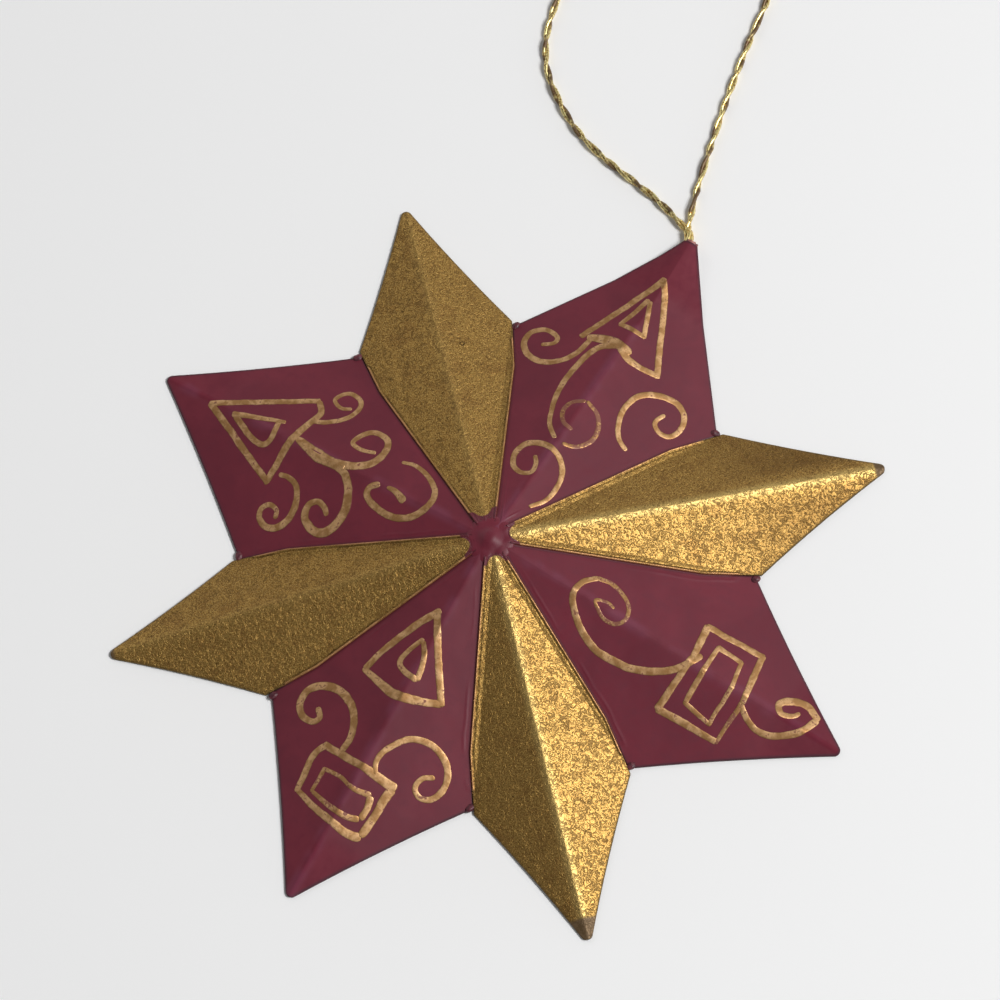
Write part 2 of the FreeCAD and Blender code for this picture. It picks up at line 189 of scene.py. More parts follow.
class Finish(Tree):
    """A material on one Principled shader, with the colour that is laid on it so far."""

    def __init__(self, name, **constants):
        self.material = bpy.data.materials.new(name)
        self.material.use_nodes = True
        super().__init__(self.material.node_tree)
        self.shader = self.nodes.nodes["Principled BSDF"]
        self.place = self.get("Object", "ShaderNodeTexCoord")
        self.put(**constants)

    def put(self, **sockets):
        for name, value in sockets.items():
            self.fill(self.shader.inputs[name.replace("_", " ")], value)

    def start(self, share, low, high):
        """The ground colour, from one colour to another."""
        self.tone = self.mixed(share, low, high)

    def lay(self, share, colour):
        """A colour over what is laid so far, as dense as the share."""
        self.tone = self.mixed(share, self.tone, colour)

    def read(self, attribute):
        return self.get("Fac", "ShaderNodeAttribute", {"attribute_name": attribute})

    def relief(self, height, depth, strength=1.0):
        """Bump: a height from 0 to 1 that stands this deep, in metres."""
        self.put(Normal=self.get("Normal", "ShaderNodeBump", None,
                                 {"Height": height, "Distance": depth, "Strength": strength}))


def piece_of(name, points, faces, material=None, **attributes):
    """A piece with this mesh. Each attribute lists one number for each point."""
    mesh = bpy.data.meshes.new(name)
    mesh.from_pydata(points, [], faces)
    for label, values in attributes.items():
        mesh.attributes.new(label, "FLOAT", "POINT").data.foreach_set("value", values)
    if material:
        mesh.materials.append(material)
    mesh.shade_smooth()
    return in_scene(name, mesh)


key_direction = Vector((0.55, 0.26, 0.79)).normalized()
fill_direction = Vector((-0.80, 0.10, 0.60)).normalized()
lamp_away = 1.3
key_share = 0.64          # what each lamp gives a level white floor
fill_share = 0.04
horizon = 0.90            # how bright the studio is, from its walls' foot to its ceiling
mid_wall = 0.33
overhead = 0.06
wall_slope = 0.45         # brighter towards the far wall, darker behind the camera
brightest_wall = Vector((0.3, 0.95, 0))


def lamp(name, direction, size, share):
    """A square soft lamp that faces the star and gives a level white floor this share of white."""
    light = bpy.data.lights.new(name, "AREA")
    light.size = size
    light.energy = share * math.pi ** 2 * lamp_away ** 2 / direction.z
    facing = direction.to_track_quat("Z", "Y").to_matrix().to_4x4()
    in_scene(name, light).matrix_world = Matrix.Translation(direction * lamp_away) @ facing


lamp("key", key_direction, 0.42, key_share)
lamp("fill", fill_direction, 0.8, fill_share)

world = bpy.data.worlds.new("studio")
world.use_nodes = True
bpy.context.scene.world = world
studio = Tree(world.node_tree)
toward = studio.get("Generated", "ShaderNodeTexCoord")
wall_height = studio.height_of(toward)
level = mid_wall + (horizon - mid_wall) * wall_height.rise(0.3, 0.0)
level = level + (overhead - mid_wall) * wall_height.rise(0.5, 0.9)
far_side = studio.vectors("DOT_PRODUCT", toward, brightest_wall, output="Value")
walls = world.node_tree.nodes["Background"]
studio.fill(walls.inputs["Color"], (1, 1, 1, 1))
studio.fill(walls.inputs["Strength"], level * (1 + wall_slope * far_side))

floor_reach = 3.0
floor_drop = 0.03 * mm
floor_size = 0.6
floor_tones = (0.97, 0.96)
pale = Finish("pale_floor", Roughness=0.9, Specular_IOR_Level=0.2)
pale.start(pale.grain(pale.place, floor_size), *[(grey, grey, grey, 1) for grey in floor_tones])
pale.put(Base_Color=pale.tone)
floor_corners = [(-1, -1), (1, -1), (1, 1), (-1, 1)]
floor = piece_of("floor", [(x * floor_reach, y * floor_reach, -floor_drop) for x, y in floor_corners],
                 [(0, 1, 2, 3)], pale.material)


# ---- hanging cord ------------------------------------------------------------------------------
# A metallic gold cord, two plies twisted together, about a millimetre thick. One length runs out of
# the neck, round the bow and back to the neck, and it lies on the surface that the star rests on.

cord_thickness = 1.0
lying = 0.52
fork = Vector((-2.35, 55.15, 0.74))
left_strand = 1.55
right_strand = 1.35
CORD_BOW = [
    (-7.4, 57.0), (-12.6, 58.0), (-18.2, 58.95), (-23.6, 60.6), (-28.6, 63.6), (-32.6, 66.9), (-35.4, 71.5),
    (-36.9, 76.9), (-37.5, 82.7), (-36.8, 88.9), (-34.3, 94.8), (-29.9, 99.3), (-23.9, 101.6), (-17.6, 100.9),
    (-12.9, 97.2), (-10.75, 91.9), (-10.05, 86.4), (-9.05, 80.9), (-7.95, 75.5), (-6.72, 70.2), (-5.4, 64.9),
    (-4.25, 60.5),
]
on_floor = [Vector((x, y, lying)) for x, y in CORD_BOW]
left_exit = fork + (on_floor[0] - fork).normalized() * left_strand
right_exit = fork + (on_floor[-1] - fork).normalized() * right_strand
cord_points = [point * mm for point in [left_exit] + on_floor + [right_exit]]

whole_turn = 2 * math.pi
ply_radius = 0.27 * mm
ply_offset = 0.235 * mm
lay_pitch = 6.8 * mm
cord_step = 0.14 * mm


def line_object(points, kind="POLY"):
    """A curve object of one open spline through or past these points."""
    curve = bpy.data.curves.new("line", "CURVE")
    curve.dimensions = "3D"
    curve.resolution_u = 16
    spline = curve.splines.new(kind)
    spline.points.add(len(points) - 1)
    for knot, point in zip(spline.points, points):
        knot.co = (*point, 1)
    if kind == "NURBS":
        spline.order_u = 3
        spline.use_endpoint_u = True
    return in_scene("line", curve)


def drop(thing):
    data = thing.data
    bpy.data.objects.remove(thing)
    (bpy.data.curves if isinstance(data, bpy.types.Curve) else bpy.data.meshes).remove(data)


def flowing(points):
    """The smooth line that a cord takes past these points."""
    route = line_object(points, "NURBS")
    mesh = bpy.data.meshes.new_from_object(route)
    line = [vertex.co.copy() for vertex in mesh.vertices]
    drop(route)
    bpy.data.meshes.remove(mesh)
    return line


def length_of(line):
    return sum((after - here).length for here, after in zip(line, line[1:]))


def grow(name, source, build, material, **sizes):
    """Run a Geometry Nodes tree over a source object. The plain mesh that comes out takes its place."""
    group = bpy.data.node_groups.new(name, "GeometryNodeTree")

    def socket(label, way, kind):
        return group.interface.new_socket(label, in_out=way, socket_type="NodeSocket" + kind)
    socket("Geometry", "INPUT", "Geometry")
    socket("Geometry", "OUTPUT", "Geometry")
    sockets = {size: socket(size, "INPUT", "Float") for size in sizes}
    tree = Tree(group)
    entry = tree.add("NodeGroupInput")
    inputs = {size: Wire(tree, entry.outputs[size]) for size in sizes}
    made = build(tree, Wire(tree, entry.outputs["Geometry"]), inputs)
    made = tree.shape("RealizeInstances", Geometry=made)
    tree.add("NodeGroupOutput", None, {0: tree.shape("SetMaterial", Geometry=made, Material=material)})
    modifier = source.modifiers.new(name, "NODES")
    modifier.node_group = group
    for size, value in sizes.items():
        modifier[sockets[size].identifier] = float(value)
    bpy.context.view_layer.update()
    grown = source.evaluated_get(bpy.context.evaluated_depsgraph_get())
    mesh = bpy.data.meshes.new_from_object(grown)
    source.modifiers.remove(modifier)
    mesh.name = name
    drop(source)
    return in_scene(name, mesh)


def twisted_plies(tree, line, size):
    """Plies that wind round a line, each with creases that wind round the ply."""
    level_line = tree.shape("SetCurveNormal", {"mode": "Z_UP"}, Curve=line)
    fine = tree.shape("ResampleCurve", {"mode": "LENGTH"}, Curve=level_line, Length=size["step"])
    copies = tree.add("GeometryNodeDuplicateElements", {"domain": "SPLINE"},
                      {"Geometry": fine, "Amount": size["plies"]})
    ply = Wire(tree, copies.outputs["Duplicate Index"])
    turns = tree.get("Length", "GeometryNodeSplineParameter") / size["pitch"]
    uneven = tree.get(0, "ShaderNodeTexNoise", {"noise_dimensions": "1D"},
                      {"W": turns, "Scale": 2.0, "Detail": 1.0}) - 0.5
    angle = whole_turn * (turns + ply / size["plies"] + size["phase"] + 0.25 * uneven)
    side = tree.shape("InputNormal")
    lift = tree.vectors("CROSS_PRODUCT", tree.shape("InputTangent"), side)
    outward = tree.vectors("ADD", tree.scaled(side, tree.maths("COSINE", angle)),
                           tree.scaled(lift, tree.maths("SINE", angle)))
    wound = tree.shape("SetPosition", Geometry=Wire(tree, copies.outputs[0]),
                       Offset=tree.scaled(outward, size["offset"]))
    lumpy = tree.grain(tree.vector(turns, ply * 7.3), 1 / 6) - 0.5
    thick = tree.shape("SetCurveRadius", Curve=wound, Radius=size["ply_radius"] * (1 + 0.28 * lumpy))
    marked = tree.shape("StoreNamedAttribute", {"data_type": "FLOAT", "domain": "POINT"},
                        Geometry=thick, Name="strand", Value=ply)
    creased = tree.shape("SetCurveTilt", Curve=marked, Tilt=angle * 0.8)
    profile = tree.shape("CurveStar", Points=size["creases"], Inner_Radius=0.86, Outer_Radius=1.0)
    tube = tree.shape("CurveToMesh", Curve=creased, Profile_Curve=profile, Scale=tree.shape("InputRadius"),
                      Fill_Caps=True)
    return tree.shape("SetShadeSmooth", Geometry=tube)


def gold_foil(name, bright, dark, crumpled):
    """Yarn wrapped in foil, rubbed through to its brown core in patches. On all plies but the first that
    brown is mostly painted shade.
    """
    foil = Finish(name)
    fibre = foil.grain(foil.place, 0.3 * mm, 2.0, 0.6, flat=False)
    patches = foil.grain(foil.place, 1.5 * mm, 2.0, flat=False)
    # Brown core where the foil is rubbed off in patches, and painted shade over most of every ply but the
    # first.
    bare = (patches + 0.29 * foil.read("strand").rise(0.4, 0.6)).rise(0.68, 0.84)
    foil.start(fibre.rise(0.3, 0.62), dark, bright)
    foil.lay(bare * 0.9, paint(84, 54, 36))
    foil.put(Base_Color=foil.tone, Metallic=0.95 - 0.6 * bare, Roughness=0.18 + 0.24 * fibre + 0.1 * bare)
    foil.relief(fibre, 0.05 * mm, crumpled)
    return foil.material


cord_gold = gold_foil("gold_foil_cord", paint(255, 240, 170), paint(180, 136, 70), 0.4)
# The neck's foil is the cord's with a lighter dark tone, as painted highlight.
neck_gold = gold_foil("gold_foil_neck", paint(255, 238, 165), paint(214, 166, 88), 0.1)
cord_line = flowing(cord_points)
strand_sizes = {"step": cord_step, "plies": 2, "pitch": lay_pitch, "offset": ply_offset,
                "ply_radius": ply_radius, "creases": 8, "phase": 0}
hanging_cord = grow("hanging_cord_twisted", line_object(cord_line), twisted_plies, cord_gold, **strand_sizes)
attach(hanging_cord, "root")
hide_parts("hanging_cord")


# ---- cord neck and knot ------------------------------------------------------------------------
# Below the fork the cord's two ends run together, twisted and drawn tight, into the mouth of the
# hanging ray. Inside they are tied in a knot of three wraps that can't pull through the mouth.

mouth_height = 1.07
mouth_reach = 53.4
funnel_start = 44.0
knot_reach = 33.6
knot_length = 3.6
knot_height = 1.65
knot_core = 0.92
hanging_turn = math.radians(90.8)
north = Vector((math.cos(hanging_turn), math.sin(hanging_turn), 0))
north_left = Vector((-north.y, north.x, 0))
raised = Vector((0, 0, 1))

neck_points = [north * out + raised * height for out, height in (
    (knot_reach - knot_length / 2, knot_height), (knot_reach + knot_length / 2, knot_height),
    (funnel_start + 1.5, mouth_height), (mouth_reach + 0.55, mouth_height))] + [fork]
neck_line = flowing([point * mm for point in neck_points])
bundle = grow("neck_bundle", line_object(neck_line), twisted_plies, neck_gold, step=0.16 * mm, plies=4,
              pitch=8.5 * mm, offset=0.36 * mm, ply_radius=0.315 * mm, creases=9, phase=0.1)


def stub(start, end, phase):
    """A short stretch of the cord between the neck and the loop, with its plies in step with the loop's."""
    return grow("stub", line_object([start * mm, end * mm]), twisted_plies, cord_gold,
                **{**strand_sizes, "phase": phase})


left_stub = stub(fork, left_exit, -left_strand * mm / lay_pitch)
right_stub = stub(right_exit, fork, length_of(cord_line) / lay_pitch)


def gathered(meshes):
    """The points and faces of several meshes, numbered on as those of one."""
    points, faces = [], []
    for mesh in meshes:
        base = len(points)
        points += [vertex.co.copy() for vertex in mesh.vertices]
        faces += [[base + corner for corner in polygon.vertices] for polygon in mesh.polygons]
    return points, faces


neck_parts = [bundle, left_stub, right_stub]
neck = piece_of("cord_neck_twisted", *gathered([part.data for part in neck_parts]), neck_gold)
for part in neck_parts:
    drop(part)
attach(neck, "root")
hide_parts("cord_neck")

knot_turns = 3.2
knot_marks = 96
knot_swell = 0.2          # how much fatter the knot is at its middle than at its ends
knot_line = []
for step in range(knot_marks + 1):
    share = step / knot_marks
    angle = whole_turn * knot_turns * share
    swell = knot_core - knot_swell + knot_swell * math.sin(math.pi * share)
    along = knot_reach + (share - 0.5) * (knot_length - cord_thickness * 1.15)
    middle = north * along + raised * knot_height
    knot_line.append((middle + north_left * swell * math.cos(angle) + raised * swell * math.sin(angle)) * mm)
knot = grow("cord_knot_wraps", line_object(knot_line), twisted_plies, cord_gold,
            **{**strand_sizes, "pitch": 5.5 * mm})
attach(knot, "root")
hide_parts("cord_knot")


# ---- the bare tin ------------------------------------------------------------------------------
# Eight kites of thin tinplate carry everything. Bare metal shows on the back, with flux stains and
# heat tints beside the seams, and as a dark snipped edge all round the outline.

RAYS = ["north", "northwest", "west", "southwest", "south", "southeast", "east", "northeast"]
BURGUNDY = {"north": "hanging_ray_north", "west": "burgundy_ray_west", "south": "burgundy_ray_south",
            "east": "burgundy_ray_east"}
GOLD = {name: "gold_ray_" + name for name in RAYS if name not in BURGUNDY}
rim_height = 0.6 * mm     # the sheet's edge is a snipped rim below this, and lies in a valley above it
lapped_reach = 3.1 * mm   # how far out the enamel of the centre laps over the sheets' edges


def tinplate(name, edge_colour, rim_colour):
    """Tin behind, and the colour that the finish leaves on the sheet's edges in front."""
    tin = Finish(name)
    behind = tin.height_of(tin.get("Normal", "ShaderNodeNewGeometry")).rise(-0.35, -0.6)
    stain = tin.grain(tin.place, 9 * mm, 4.0, 0.5, flat=False)
    spangle = tin.grain(tin.place, 2.2 * mm, 2.0, 0.2, flat=False)
    tin.start(spangle.rise(0.35, 0.65), paint(158, 156, 150), paint(186, 184, 178))
    tin.lay(stain.rise(0.52, 0.66) * 0.7, paint(128, 104, 74))
    edge = tin.mixed(tin.height_of(tin.place).rise(rim_height, 2 * rim_height), rim_colour, edge_colour)
    from_axis = tin.vectors("LENGTH", tin.vectors("MULTIPLY", tin.place, Vector((1, 1, 0))), output="Value")
    edge = tin.mixed(from_axis.rise(lapped_reach + 0.1 * mm, lapped_reach), edge, paint(92, 30, 42))
    tin.put(Base_Color=tin.mixed(behind, edge, tin.tone), Metallic=0.35 + 0.5 * behind,
            Roughness=0.38 + 0.3 * stain)
    tin.relief(tin.grain(tin.place, 0.5 * mm, 3.0, flat=False), 0.03 * mm, 0.4)
    return tin.material


def dress(nodes, material):
    """Give CAD nodes this material."""
    for node in nodes:
        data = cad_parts[node].data
        data.materials.clear()
        data.materials.append(material)


dress(GOLD.values(), tinplate("tin_under_gold", paint(168, 118, 68), paint(84, 74, 50)))
dress(BURGUNDY.values(), tinplate("tin_under_burgundy", paint(98, 38, 48), paint(62, 40, 42)))


# ---- skins on the tin --------------------------------------------------------------------------
# Both finishes are skins a tenth of a millimetre thick that stop at the sheet's edge. Each is one
# closed mesh: rows across the ray, from one edge to the other, laid on the tin that is uppermost.

sheets = {node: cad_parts[node].data for node in list(GOLD.values()) + list(BURGUNDY.values())}
owners = [node for node, sheet in sheets.items() for _ in sheet.polygons]
tin_sheets = BVHTree.FromPolygons(*gathered(sheets.values()))
above_all = 30 * mm
down = Vector((0, 0, -1))
ray_middle = 20           # how far out every ray has tin under its ridge, in millimetres
slope_spots = ((14, 1.5), (30, 1.5), (30, 4))   # out and aside, where each half of a fold is flat
ridge_soft = 0.1          # how far the finish rounds the ridge off
ridge_reach = 1.2         # and how far from the ridge that is done
no_funnel = 1.0           # a ray that is folded as far as this is folded to its tip
funnel_steps = (-1.2, -0.8, -0.4, 0.4, 0.8, 1.2)   # where the funnel's facets are averaged, along it
funnel_level = 0.8        # facets further down than this are another layer
row_inset = 0.0005        # the first and last row lie just inside the sheet
edge_inset = 0.02
skin_depth = 0.06
back_columns = 4          # the skin's hidden back has one column for this many in front
nose_curve = 0.6          # how round the enamel of the centre leaves a gold ray's inner end
nose_half_width = 1.3
nose_laps = {"gold_ray_northwest": 0.85}   # how far that enamel runs over the leaf, and where unusual
usual_lap = 0.12
inner_ends = {}


def uppermost(spot):
    """Height of the uppermost tin over a spot, and the node that it belongs to."""
    hit, _, panel, _ = tin_sheets.ray_cast(Vector((spot.x, spot.y, above_all)), down)
    return (hit.z, owners[panel]) if hit else (0.0, None)


def halved(near, far, steps, inside):
    """The furthest distance that is still inside and the nearest that isn't, found by halving."""
    for _ in range(steps):
        middle = (near + far) / 2
        if inside(middle):
            near = middle
        else:
            far = middle
    return near, far


def reach_of(node, start, direction, far):
    """How far the node stays uppermost from a spot, in this direction."""
    return halved(0.0, far, 15, lambda middle: uppermost(start + direction * middle)[1] == node)[0]


def nearest_of(points):
    tree = KDTree(len(points))
    for place, point in enumerate(points):
        tree.insert(point, place)
    tree.balance()
    return tree


def ray_skin(name, node, rows, columns, edge_steps, end_share, folded_to=no_funnel):
    """The grid of a skin. Its attributes are millimetres from the rim and other lines, and 1 in front."""
    def out_of_axis(point):
        return Vector((point.x, point.y, 0)).length
    outline = [vertex.co for vertex in sheets[node].vertices]
    longest = max(out_of_axis(point) for point in outline)
    axis = sum([point for point in outline if out_of_axis(point) > longest - 0.15 * mm], Vector())
    axis.z = 0
    axis.normalize()
    aside = Vector((-axis.y, axis.x, 0))
    middle = axis * ray_middle * mm
    end_out = ray_middle * mm + reach_of(node, middle, axis, 2 * ray_middle * mm)
    end_in = ray_middle * mm - reach_of(node, middle, -axis, ray_middle * mm)
    lap = nose_laps.get(node, usual_lap) * mm
    inner_ends[node] = (axis, end_in + lap)

    slopes = []
    (first_out, beside), (last_out, _), (_, outer) = slope_spots
    for side in (-1, 1):
        near, far, low = [uppermost(axis * out * mm + aside * side * offset * mm)[0]
                          for out, offset in slope_spots]
        fall_along = (far - near) / ((last_out - first_out) * mm)
        fall_aside = (low - far) / ((outer - beside) * mm)
        start = near - fall_along * first_out * mm - fall_aside * beside * mm
        slopes.append((start, fall_along, fall_aside * side))

    def folded(along, offset):
        """Height of the finish near the ridge: the two planes of the fold, rounded where they meet."""
        left, right = [start + fall_along * along + fall_aside * offset
                       for start, fall_along, fall_aside in slopes]
        return (left + right) / 2 - math.hypot((left - right) / 2, ridge_soft * mm)

    lines, across, rim_points, valley_points = [], [], [], []
    for row in range(rows + 1):
        share = row / rows
        share -= end_share * math.sin(whole_turn * share) / whole_turn
        spine = axis * (end_in + (end_out - end_in) * (row_inset + (1 - 2 * row_inset) * share))
        halves = []
        for side in (-1, 1):
            limit = reach_of(node, spine, aside * side, 20 * mm)
            shrink = min(1, 0.5 * limit / edge_steps[-1])
            offsets = [limit - step * shrink for step in edge_steps]
            offsets += [offsets[-1] * (1 - count / columns) for count in range(1, columns)]
            halves.append([spine + aside * side * offset for offset in offsets])
            rim_points.append(halves[-1][0])
            if uppermost(rim_points[-1] - aside * side * edge_inset * mm)[0] > 2 * rim_height:
                valley_points.append(rim_points[-1])
        lines.append(spine)
        across.append(halves[0] + [spine] + halves[1][::-1])
    for row in (across[0], across[-1]):
        rim_points += [row[0].lerp(row[-1], step / 20) for step in range(21)]
    rims, valleys = nearest_of(rim_points), nearest_of(valley_points)

    width = len(across[0])
    vertices = []
    attributes = {label: [] for label in ("rim", "valley", "tip", "ridge", "nose", "front")}
    for row, spine in zip(across, lines):
        for column, spot in enumerate(row):
            inset = spot
            if column in (0, width - 1):
                inset = spot.lerp(spine, min(1, edge_inset * mm / max((spot - spine).length, 1e-6)))
            height = uppermost(inset)[0]
            along, offset = spot.dot(axis), spot.dot(aside)
            if along > folded_to - 1.5 * mm:
                nearby = [uppermost(inset + axis * step * mm)[0] for step in funnel_steps]
                nearby = [level for level in nearby if abs(level - height) < funnel_level * mm]
                height = max(height, (height + sum(nearby)) / (1 + len(nearby)))
            elif abs(offset) < ridge_reach * mm:
                height = max(height, folded(along, offset))
            vertices.append(Vector((spot.x, spot.y, height)))
            nose = (along - end_in - lap) / mm - nose_curve * min(abs(offset) / mm, nose_half_width) ** 2
            ridge = abs(offset) / mm + max(0.0, (along - folded_to) / mm + 5)
            values = (rims.find(spot)[2] / mm, valleys.find(spot)[2] / mm, (end_out - along) / mm,
                      ridge, nose, 1.0)
            for numbers, value in zip(attributes.values(), values):
                numbers.append(value)
    faces = [(here, here + width, here + width + 1, here + 1)
             for row in range(rows) for here in range(row * width, (row + 1) * width - 1)]
    backed = sorted({0, width - 1} | set(range(width // 2 % back_columns, width, back_columns)))
    under = []
    for row in range(rows + 1):
        under.append(range(len(vertices), len(vertices) + len(backed)))
        vertices += [vertices[row * width + column] + down * skin_depth * mm for column in backed]
    for row in range(rows):
        here, there = under[row], under[row + 1]
        top, next_top = row * width, (row + 1) * width
        faces += [(here[this], here[this + 1], there[this + 1], there[this])
                  for this in range(len(backed) - 1)]
        faces.append((top, here[0], there[0], next_top))
        faces.append((top + width - 1, next_top + width - 1, there[-1], here[-1]))
    for row, way in ((0, 1), (rows, -1)):
        loop = list(range(row * width, (row + 1) * width)) + list(under[row])[::-1]
        faces.append(loop[::way])
    for numbers in attributes.values():
        numbers += [0.0] * (len(vertices) - len(numbers))
    return piece_of(name, vertices, faces, **attributes)


def attribute_wire(tree, name):
    return tree.shape("InputNamedAttribute", {"data_type": "FLOAT"}, Name=name)


def lifted(tree, geometry, height):
    """Every front point raised by a height in millimetres."""
    up_by = tree.vector(z=height * attribute_wire(tree, "front") * mm)
    return tree.shape("SetPosition", Geometry=geometry, Offset=up_by)


# ---- gold leaf ---------------------------------------------------------------------------------
# Thick gold leaf on the four gold rays, laid on a dark size that has crackled into fine wrinkles.
# It turns up to a lip along each valley, with a groove inside it, and stops short of some tips.

leaf_thick = 0.09
crackle_size = 0.62 * mm
crackle_height = 0.035
lip_reach = 0.14          # how far from the valley the lip stands, and the groove inside it lies
groove_reach = 0.42


def wrinkles(tree, place):
    """Crackle in the leaf: 0 in the cracks and 1 on the islands between them."""
    folds = tree.grain(place, crackle_size, 2.0, 1.1)
    return abs(folds - 0.5).rise(0.0, 0.085)


def leaf_relief(tree, geometry, size):
    rim = attribute_wire(tree, "rim")
    valley = attribute_wire(tree, "valley")
    bare = attribute_wire(tree, "tip").rise(size["bare"] + 0.25, size["bare"] - 0.25)
    place = tree.shape("InputPosition")
    rolling = tree.grain(place, 5 * mm) - 0.5
    rounded = rim.rise(-0.06, 0.14)
    lip = valley.hump(lip_reach, 0.17) * 0.10
    groove = valley.hump(groove_reach, 0.16) * -0.07
    crackle = wrinkles(tree, place) * size["crackle"] * (1 - bare) * rim.rise(0.1, 0.5)
    from_pit = tree.away(place, tree.vector(size["pit_x"], size["pit_y"], size["pit_z"]))
    pitted = from_pit.hump(0.34, 0.2) * 0.07 - from_pit.rise(0.28, 0.05) * 0.05
    height = size["thick"] * rounded * (1 - 0.55 * bare) + lip + groove + crackle + pitted
    return lifted(tree, geometry, height + 0.10 * rolling * rim.rise(0.2, 3.0))


def gold_leaf(name, bare, painted_shade, painted_highlight, pit):
    """Leaf that is bare this far from the tip, with painted shade beside the ridge towards the tip and a
    painted highlight along the ridge.
    """
    leaf = Finish(name)
    valley = leaf.read("valley")
    tip = leaf.read("tip")
    ridge = leaf.read("ridge")
    bare_tip = tip.rise(bare + 0.2, bare - 0.3)
    cracks = 1 - wrinkles(leaf, leaf.place)
    fine = leaf.grain(leaf.place, 0.16 * mm, 2.0, 0.4)
    worn = leaf.grain(leaf.place, 3.2 * mm, 3.0, 0.5)
    speck = leaf.grain(leaf.place, 0.45 * mm, 1.0).rise(0.70, 0.76)
    broken = leaf.grain(leaf.place, 4.5 * mm, 3.0, 0.4).rise(0.38, 0.6)
    edge = valley.rise(0.26, 0.15)
    leaf.start(fine.rise(0.3, 0.7), paint(144, 105, 48), paint(204, 167, 97))
    leaf.lay(worn.rise(0.5, 0.75) * 0.35, paint(134, 94, 50))
    # Painted shade: the leaf darkens towards the tip, away from the ridge.
    leaf.lay(tip.rise(30, 8) * ridge.rise(0.9, 3.2) * painted_shade, paint(104, 74, 36))
    # Painted highlight: a bright band along the ridge.
    leaf.lay((ridge + 0.9 * fine).rise(1.6, 0.5) * painted_highlight, paint(232, 202, 128))
    leaf.lay(cracks * 0.6, paint(92, 64, 22))
    leaf.lay(speck * 0.5, paint(66, 44, 14))
    # Painted shade, in patches, in the groove inside the lip.
    leaf.lay(valley.hump(0.40, 0.2) * (0.3 + 0.7 * broken) * 0.65, paint(58, 36, 14))
    leaf.lay(edge * (0.25 + 0.6 * broken), paint(222, 168, 120))
    # Painted shade along the outline, where the leaf rounds down, except at the lip.
    leaf.lay(leaf.read("rim").rise(0.3, 0.1) * (1 - edge) * 0.55, paint(92, 76, 44))
    leaf.lay(leaf.away(leaf.place, pit).hump(0.3, 0.2) * 0.8, paint(60, 44, 20))
    leaf.lay(bare_tip, paint(104, 82, 54))
    lapped = leaf.read("nose").rise(0.12, -0.05)
    leaf.lay(lapped, paint(97, 30, 43))
    leaf.put(Base_Color=leaf.tone, Metallic=(0.92 - 0.2 * cracks - 0.45 * bare_tip) * (1 - lapped),
             Roughness=0.42 + 0.12 * cracks + 0.1 * fine)
    leaf.relief((1 - cracks) * 0.7 + fine * 0.4, 0.05 * mm, 0.6)
    return leaf.material


leaf_rows = 400
leaf_columns = 66
skin_edges = [step * mm for step in (0, 0.05, 0.11, 0.18, 0.26, 0.35, 0.45, 0.56)]
pit_pixel = (462, 344)    # one burst bubble in the leaf, where the photograph shows it
PITS = {"northwest": tin_sheets.ray_cast(eye, sight(pit_pixel))[0]}
WEAR_AND_PAINTED_LIGHT = {                  # how far the tip is bare, how much painted shade beside the ridge, how bright the painted highlight along it
    "northwest": (-1.0, 0.05, 0.1),
    "southwest": (0.6, 0.1, 0.1),
    "southeast": (2.9, 0.12, 0.5),
    "northeast": (1.4, 0.6, 0.6),
}
for name, node in GOLD.items():
    pit = PITS.get(name, down)
    skin = ray_skin("leaf", node, leaf_rows, leaf_columns, skin_edges, 0.5)
    gilding = gold_leaf("gold_leaf_" + name, *WEAR_AND_PAINTED_LIGHT[name], pit)
    leaf = grow("gold_leaf_" + name, skin, leaf_relief, gilding, thick=leaf_thick, crackle=crackle_height,
                bare=WEAR_AND_PAINTED_LIGHT[name][0], pit_x=pit.x, pit_y=pit.y, pit_z=pit.z)
    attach(leaf, "root")


# ---- burgundy enamel ---------------------------------------------------------------------------
# A satin burgundy enamel, brushed on by hand over the four other rays. It swells a little where it
# ran against the gold, and one brushed ridge follows each valley under a millimetre away.

enamel_thick = 0.07
enamel_rows = 220
enamel_columns = 40
brushed_ridge = 0.85      # how far that ridge lies from the valley


def enamel_relief(tree, geometry, size):
    rim = attribute_wire(tree, "rim")
    valley = attribute_wire(tree, "valley")
    place = tree.shape("InputPosition")
    rolling = tree.grain(place, 7 * mm) - 0.5
    wander = (tree.grain(place, 4 * mm, 1.0) - 0.5) * 0.5
    rounded = rim.rise(-0.06, 0.16)
    in_places = tree.grain(place, 9 * mm, 1.0).rise(0.45, 0.65)
    bead = (valley + wander).hump(brushed_ridge, 0.22) * 0.045 * in_places
    pooled = valley.rise(0.22, 0.0) * 0.06
    height = size["thick"] * rounded + bead + pooled + 0.09 * rolling * rim.rise(0.2, 3.0)
    return lifted(tree, geometry, height)


enamel = Finish("burgundy_enamel", Specular_IOR_Level=0.36)
cloudy = enamel.grain(enamel.place, 11 * mm, 3.0, 0.4)
brushed = enamel.grain(enamel.place, 1.4 * mm, 3.0, 0.3)
tooth = enamel.grain(enamel.place, 0.14 * mm, 2.0)
in_valley = enamel.read("valley").rise(0.5, 0.1)
ridge = enamel.read("ridge")
# Painted highlight: a pale mauve sheen along the ridge, in patches.
painted_ridge_sheen = ridge.rise(1.3, 0.2) * enamel.grain(enamel.place, 6 * mm).rise(0.4, 0.62)
enamel.start(cloudy.rise(0.3, 0.7), paint(102, 31, 46), paint(112, 36, 51))
enamel.lay(brushed.rise(0.45, 0.75) * 0.25, paint(92, 29, 46))
# Painted shade: darker enamel along the valley, beside the raised gold.
enamel.lay(in_valley * 0.6, paint(70, 20, 30))
